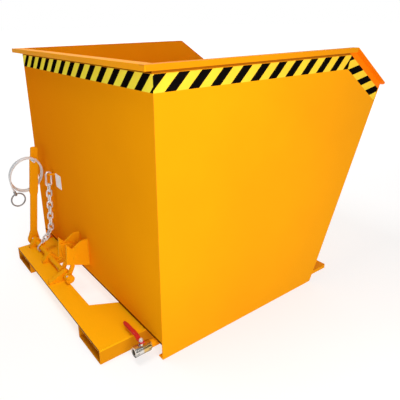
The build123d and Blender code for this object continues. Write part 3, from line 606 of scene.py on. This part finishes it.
def rear_tape():
    maker = bmesh.new()
    stripes(
        maker,
        [(0, 0), (2 * HALF_WIDTH, 0), (2 * HALF_WIDTH, TAPE_WIDTH), (0, TAPE_WIDTH)],
        REAR_START,
        lambda run, rise: (-TAPE_PROUD, HALF_WIDTH - run, TAPE_LOW + rise),
        REAR_PERIOD,
    )
    tape_piece("hazard_tape_rear", maker, False, LIT_REAR_YELLOW)


def side_tape(side, sign):
    """Tape of one side: a level stretch and a mitred one down the slope."""
    y = sign * (HALF_WIDTH + TAPE_PROUD)

    def place_level(run, rise):
        return run, y, TAPE_LOW + rise

    def place_slope(run, rise):
        x = MITRE_LOW + run * ALONG[0] + rise * ACROSS[0]
        z = TAPE_LOW + run * ALONG[1] + rise * ACROSS[1]
        return x, y, z

    maker = bmesh.new()
    level_part = [(0, 0), (MITRE_LOW, 0), (MITRE_HIGH, TAPE_WIDTH), (0, TAPE_WIDTH)]
    stripes(maker, level_part, SIDE_START, place_level)
    ends = [(MITRE_LOW, TAPE_LOW), SLOPE_END_LOW, SLOPE_END_HIGH, (MITRE_HIGH, TAPE_HIGH)]
    run, rise = on_slope(*SLOPE_START)
    stripes(maker, [on_slope(*end) for end in ends], run - rise, place_slope)
    tape_piece(f"hazard_tape_{side}", maker, sign < 0)


rear_tape()
side_tape("left", 1)
side_tape("right", -1)

# Blank type plate, riveted to the rear wall
PLATE_Y, PLATE_Z = 262.0, 400.0
PLATE_HALF_WIDE, PLATE_HALF_TALL, PLATE_ROUND = 31.0, 32.0, 5.0
PLATE_FRONT = -1.0
# Place and size of its back, of its edge and of its slightly smaller front
PLATE_LAYERS = ((-0.02, 1.0), (-0.7, 1.0), (PLATE_FRONT, 0.99))
RIVET_INSET = 6
RIVET = [(0, 2.6), (0.4, 2.6), (0.9, 2.2), (1.3, 1.4), (1.45, 0.4)]


def type_plate():
    maker = bmesh.new()
    outline = []
    for start, sy, sz in ((0, 1, 1), (90, -1, 1), (180, -1, -1), (270, 1, -1)):
        for part in range(7):
            turn = radians(start + 15 * part)
            across = sy * (PLATE_HALF_WIDE - PLATE_ROUND) + PLATE_ROUND * cos(turn)
            up = sz * (PLATE_HALF_TALL - PLATE_ROUND) + PLATE_ROUND * sin(turn)
            outline.append((across, up))
    layers = []
    for x, size in PLATE_LAYERS:
        places = [spot(x, PLATE_Y + across * size, PLATE_Z + up * size) for across, up in outline]
        layers.append([maker.verts.new(place) for place in places])
    for low, high in zip(layers, layers[1:]):
        for index in range(len(outline)):
            after = (index + 1) % len(outline)
            maker.faces.new((low[index], low[after], high[after], high[index]))
    maker.faces.new(layers[-1])
    maker.faces.new(list(reversed(layers[0])))
    for sy in (-1, 1):
        for sz in (-1, 1):
            y = PLATE_Y + sy * (PLATE_HALF_WIDE - RIVET_INSET)
            z = PLATE_Z + sz * (PLATE_HALF_TALL - RIVET_INSET)
            lathe(maker, (PLATE_FRONT, y, z), (-1, 0, 0), RIVET, sides=16, material_index=1)
    piece_from("type_plate", maker, [PLATE, ZINC], "hopper")


type_plate()

# Release cable: its turns by formula, tied at the top by the peg
CABLE = 4.0
START, SWEEP, STEPS = 50.0, 870.0, 42
COIL_BACK, COIL_LEFT, COIL_TOP = 88, 447, 491
# Half the width and height of the first turn, and by how much they grow to the last
COIL_HALF, COIL_GROWTH = (72, 84), (4, 6)
COIL_PITCH, COIL_TILT = 10.5, 29
LEAD, TAIL = 2, 40
# The smooth line passes inside its control points, so they stand a little further out
SWELL = 1.006


def cable_point(part):
    """Point of the cable at a share of its turns, and its direction there."""
    turn = radians(START + SWEEP * part)
    wide, tall = (half + growth * part for half, growth in zip(COIL_HALF, COIL_GROWTH))
    y = COIL_LEFT - COIL_PITCH * SWEEP * part / 360 - COIL_TILT * sin(turn)
    point = Vector((-COIL_BACK + wide * cos(turn) * SWELL, y, COIL_TOP - tall + tall * sin(turn) * SWELL))
    slip = -COIL_PITCH / (2 * pi) - COIL_TILT * cos(turn)
    return point, Vector((-wide * sin(turn), slip, tall * cos(turn))).normalized()


turns = [cable_point(step / STEPS) for step in range(STEPS + 1)]
lead = Vector((turns[0][1].x, 0, turns[0][1].z)).normalized()
last, drop = turns[-1]
route = [turns[0][0] - lead * LEAD] + [point for point, _ in turns]
route += [last + drop * (TAIL / 2), last + drop * TAIL]
line = bpy.data.curves.new("release_cable_line", "CURVE")
line.dimensions = "3D"
line.bevel_depth = CABLE * MM
line.bevel_resolution = 5
line.use_fill_caps = True
spline = line.splines.new("NURBS")
spline.points.add(len(route) - 1)
for control, point in zip(spline.points, route):
    control.co = (*spot(*point), 1)
spline.order_u = 3
spline.use_endpoint_u = True
spline.resolution_u = 6
cable = bpy.data.objects.new("cable", line)
scene.collection.objects.link(cable)
cable.data.materials.append(WHITE)
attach(cable, "latch")
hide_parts("release_cable")

# Weld beads where plates meet, centred a little off their corners; most stop short of the ends
SHEET_OFF, PLATE_OFF, SIDE_OFF = 0.6, 0.5, 0.4
BEAD_STEP, BEAD_PITCH, BEAD_SIDES, RING_STEPS = 1.6, 4.6, 7, 48
ON_WALL, STAPLE_FOOT = -1, -0.8
STRIKER_CHEEK, BEARING, STAPLE_ROD, TACK = 8, 22, 4, 18
# Places forward and up: the inside of the sloping sheet, and its outside at the hinge lugs
FLOOR_END, SLOPE_FOOT, SLOPE_LIP = 776, (778, 67), (1102, 798)
LUG_FOOT, LUG_TOP = (781.9, 63), (819.8, 148.5)
DRAIN_LEVEL, DRAIN_BEAD = 40, 14.0


def ripple(size, pitch=BEAD_PITCH):
    """Bead radius that rises and falls with each stroke of the torch."""
    return lambda run: size * (1 + 0.16 * sin(2 * pi * run / pitch) + 0.05 * sin(1.9 * run / pitch))


def weld(name, body, runs, size, rounds=(), step=BEAD_STEP, pitch=BEAD_PITCH):
    """Weld beads laid along corners, one piece for a group of them."""
    maker = bmesh.new()
    for first, second in runs:
        tube(maker, straight(first, second, step), ripple(size, pitch), BEAD_SIDES)
    for centre, axis, radius in rounds:
        tube(maker, circle(centre, axis, radius, RING_STEPS), ripple(size), BEAD_SIDES, closed=True)
    piece_from(name, maker, [WELD], body)


def beside(low, high, off):
    """Lines just outside the two faces of a plate."""
    return low - off, high + off


def weld_striker():
    low, high = corners("striker_cheeks")
    lines = beside(low.y, low.y + STRIKER_CHEEK, PLATE_OFF)
    lines += beside(high.y - STRIKER_CHEEK, high.y, PLATE_OFF)
    runs = [((ON_WALL, y, low.z + 1), (ON_WALL, y, high.z - 3)) for y in lines]
    weld("weld_striker", "hopper", runs, size=2.4)


def weld_staple():
    low, high = corners("chain_eye")
    legs = low.y + STAPLE_ROD, high.y - STAPLE_ROD
    rings = [((STAPLE_FOOT, y, (low.z + high.z) / 2), FORWARD, STAPLE_ROD + SHEET_OFF) for y in legs]
    weld("weld_staple", "hopper", [], size=1.8, rounds=rings)


def weld_inside():
    """Seams inside the hopper, along the floor, the rear corners and the sloping sheet."""
    wall, floor = corners("rear_wall")[1], corners("floor_sheet")[1]
    rear, front, height = wall.x + SHEET_OFF, floor.x - PLATE_OFF, floor.z + SHEET_OFF
    end, side = wall.y - 2, wall.y - SHEET_OFF
    seams = [((x, -end, height), (x, end, height)) for x in (rear, front)]
    for y in (-side, side):
        seams += [
            ((rear, y, floor.z + 2), (rear, y, wall.z - 5)),
            ((wall.x + 2, y, height), (FLOOR_END, y, height)),
            ((SLOPE_FOOT[0], y, SLOPE_FOOT[1]), (SLOPE_LIP[0], y, SLOPE_LIP[1])),
        ]
    weld("weld_inside", "hopper", seams, size=2.6, step=3.2, pitch=9.5)


def weld_hinge_lugs():
    low, high = corners("hinge_lug_left")
    lines = [sign * y for sign in (-1, 1) for y in beside(low.y, high.y, SIDE_OFF)]
    runs = [((LUG_FOOT[0], y, LUG_FOOT[1]), (LUG_TOP[0], y, LUG_TOP[1])) for y in lines]
    weld("weld_hinge_lugs", "hopper", runs, size=2.2)


def weld_drain():
    """Beads round the sump under the floor and round the pipe in it."""
    low, high = corners("drain_sump")
    height = high.z - SHEET_OFF
    ring = [(low.x, high.y), (high.x, high.y), (high.x, low.y), (low.x, low.y)]
    runs = [((*first, height), (*second, height)) for first, second in zip(ring, ring[1:] + ring[:1])]
    pipe = ((low.x - SHEET_OFF, (low.y + high.y) / 2, DRAIN_LEVEL), FORWARD, DRAIN_BEAD)
    weld("weld_drain", "hopper", runs, size=1.8, rounds=[pipe])


def weld_bearings():
    pair_low, pair_high = corners("shaft_bearings")
    lone_low, lone_high = corners("latch_bearing")
    height = pair_low.z + PLATE_OFF
    runs = []
    for low, high, rear, front in (
        (pair_high.y - BEARING, pair_high.y, pair_low.x, pair_high.x),
        (pair_low.y, pair_low.y + BEARING, pair_low.x, pair_high.x),
        (lone_low.y, lone_high.y, lone_low.x, lone_high.x),
    ):
        right_line, left_line = beside(low, high, SIDE_OFF)
        runs += [((x, low + 1, height), (x, high - 1, height)) for x in beside(rear, front, SIDE_OFF)]
        runs += [((rear + 1, right_line, height), (front - 1, right_line, height))]
        runs += [((rear + 1, left_line, height), (rear + TACK, left_line, height))]
    weld("weld_bearings", "base", runs, size=1.9)


def weld_base():
    """Beads at the hinge cheeks, the fork pockets, the beam between them and the foot plate."""
    cheek_low, cheek_high = corners("hinge_cheeks_left")
    plate_low, plate_high = corners("rear_cross_plate")
    pocket_low, pocket_high = corners("fork_pocket_left")
    foot_low, foot_high = corners("front_foot_plate")
    beam_rear = corners("front_cross_beam")[0].x - SIDE_OFF
    on_foot, on_pocket = foot_high.z + PLATE_OFF, pocket_high.z + PLATE_OFF
    plate_front, under_plate = plate_high.x + PLATE_OFF, plate_low.z - SIDE_OFF
    foot_rear, end = foot_low.x + PLATE_OFF, pocket_high.y - 4
    runs = []
    for sign in (-1, 1):
        inner = sign * (pocket_low.y - SIDE_OFF)
        for y in beside(cheek_low.y, cheek_high.y, SIDE_OFF):
            runs += [((cheek_low.x, sign * y, on_foot), (cheek_high.x, sign * y, on_foot))]
        first, second = sign * (pocket_low.y + 4), sign * (pocket_high.y - 3)
        runs += [((plate_front, first, on_pocket), (plate_front, second, on_pocket))]
        runs += [((beam_rear, inner, 2), (beam_rear, inner, pocket_high.z - 2))]
        runs += [((plate_low.x + 3, inner, under_plate), (plate_high.x - 4, inner, under_plate))]
    runs += [((foot_rear, -end, on_foot), (foot_rear, end, on_foot))]
    weld("weld_base", "base", runs, size=2.2, step=2.2, pitch=6)


weld_striker()
weld_staple()
weld_inside()
weld_hinge_lugs()
weld_drain()
weld_bearings()
weld_base()

# Small fasteners
COLLAR, SCREW_LEAN, SCREW_SUNK = 14, radians(35), 0.4
SCREW = [(0, 3.4), (1.6, 3.4), (2.0, 3.0), (2.0, 1.9), (0.6, 1.6)]
COTTER, EYE_RISE, LEG_RISE = 2.5, 2.6, 1.5
EYE_HALF, EYE_WIRE, EYE_STEPS = (3.4, 3.9), 1.3, 24
LEG_APART, LEG_HALF, LEG_WIRE = 1.1, (5.2, 4.0), 1.1


def collar_screws():
    """Set screws in the shaft collars, sunk a little into their round."""
    low, high = corners("shaft_collars")
    middle = (low + high) / 2
    out = (high.x - low.x) / 2 - SCREW_SUNK
    maker = bmesh.new()
    for y in (low.y + COLLAR / 2, high.y - COLLAR / 2):
        seat = (middle.x - out * sin(SCREW_LEAN), y, middle.z + out * cos(SCREW_LEAN))
        lathe(maker, seat, (-sin(SCREW_LEAN), 0, cos(SCREW_LEAN)), SCREW, sides=18)
    piece_from("collar_screws", maker, [ZINC], "latch")


def split_pin_ends():
    """Eyes and bent legs of the split pins in the hinge pins."""
    low, high = corners("hinge_pin_cotters")
    x, side = (low.x + high.x) / 2, high.y - COTTER
    eye_turns = [2 * pi * part / EYE_STEPS for part in range(EYE_STEPS)]
    leg_turns = [radians(15 * part) for part in range(6)]
    maker = bmesh.new()
    for y in (-side, side):
        eye = [
            Vector((x + EYE_HALF[0] * cos(turn), y, high.z + EYE_RISE + EYE_HALF[1] * sin(turn)))
            for turn in eye_turns
        ]
        tube(maker, eye, EYE_WIRE, closed=True)
        for sign in (-1, 1):
            leg = []
            for turn in leg_turns:
                away, fall = LEG_APART + LEG_HALF[0] * sin(turn), LEG_HALF[1] * (1 - cos(turn))
                leg.append(Vector((x + sign * away, y, low.z + LEG_RISE - fall)))
            tube(maker, leg, LEG_WIRE)
    piece_from("split_pin_ends", maker, [ZINC], "base")


collar_screws()
split_pin_ends()

# Pale floor, whiter toward the back and, for the camera's own rays, far away on every side; in metres
FLOOR_HALF = 90
WHITER_BACK, WHITER_FAR = (LEVEL_VIEW, -0.5, 3.0), (2.0, 4.5)
PALE, FULL_WHITE = (0.7, 0.7, 0.7, 1), (1, 1, 1, 1)
floor_mesh = bpy.data.meshes.new("floor")
square = [(x * FLOOR_HALF, y * FLOOR_HALF, 0) for x, y in ((-1, -1), (1, -1), (1, 1), (-1, 1))]
floor_mesh.from_pydata(square, [], [(0, 1, 2, 3)])
floor = bpy.data.objects.new("floor", floor_mesh)
scene.collection.objects.link(floor)
floor_mat = material(
    "pale_floor", (0.33, 0.33, 0.33), (0.34, 0.34, 0.34),
    roughness=0.8, gloss=0.02, shade=0.01, patch=1.0,
)
floor_tree = floor_mat.node_tree
floor_shader = floor_tree.nodes["Principled BSDF"]
distance = floor_tree.nodes.new("ShaderNodeVectorMath")
distance.operation = "LENGTH"
floor_tree.links.new(object_coords(floor_tree), distance.inputs[0])
seen = floor_tree.nodes.new("ShaderNodeLightPath").outputs["Is Camera Ray"]
far = arithmetic(floor_tree, "MULTIPLY", ramp(floor_tree, distance.outputs["Value"], *WHITER_FAR), seen)
white = arithmetic(floor_tree, "MAXIMUM", past_plane(floor_tree, WHITER_BACK), far)
floor_tree.links.new(blend_colour(floor_tree, white, PALE, FULL_WHITE), floor_shader.inputs["Emission Color"])
floor_shader.inputs["Emission Strength"].default_value = 1.0
floor.data.materials.append(floor_mat)

# Light from behind the object as the photograph sees it, and plain white for the camera past the floor
BACK_LIGHT, DIM, FULL = (0.3, 0.75), 0.08, 1.0
world = bpy.data.worlds.new("studio")
world.use_nodes = True
tree = world.node_tree
backdrop = tree.nodes["Background"]
direction = tree.nodes.new("ShaderNodeTexCoord").outputs["Generated"]
glow = ramp(tree, dot(tree, direction, LEVEL_VIEW), *BACK_LIGHT, DIM, FULL)
seen = tree.nodes.new("ShaderNodeLightPath").outputs["Is Camera Ray"]
tree.links.new(arithmetic(tree, "MAXIMUM", glow, seen), backdrop.inputs["Strength"])
backdrop.inputs["Color"].default_value = FULL_WHITE
scene.world = world


def area_light(name, place, target, power, size, colour=(1, 1, 1)):
    lamp = bpy.data.lights.new(name, "AREA")
    lamp.energy = power
    lamp.size = size
    lamp.color = colour
    holder = bpy.data.objects.new(name, lamp)
    holder.location = place
    holder.rotation_euler = (Vector(target) - Vector(place)).to_track_quat("-Z", "Y").to_euler()
    holder.visible_camera = False
    scene.collection.objects.link(holder)


area_light("key", (-0.66, -1.8, 0.95), (0, -0.4, 0.35), power=24.5, size=1.5, colour=(1, 0.98, 0.95))
area_light("overhead", (-0.75, 0.0, 3.0), (-0.6, 0, 0), power=41, size=1.2)
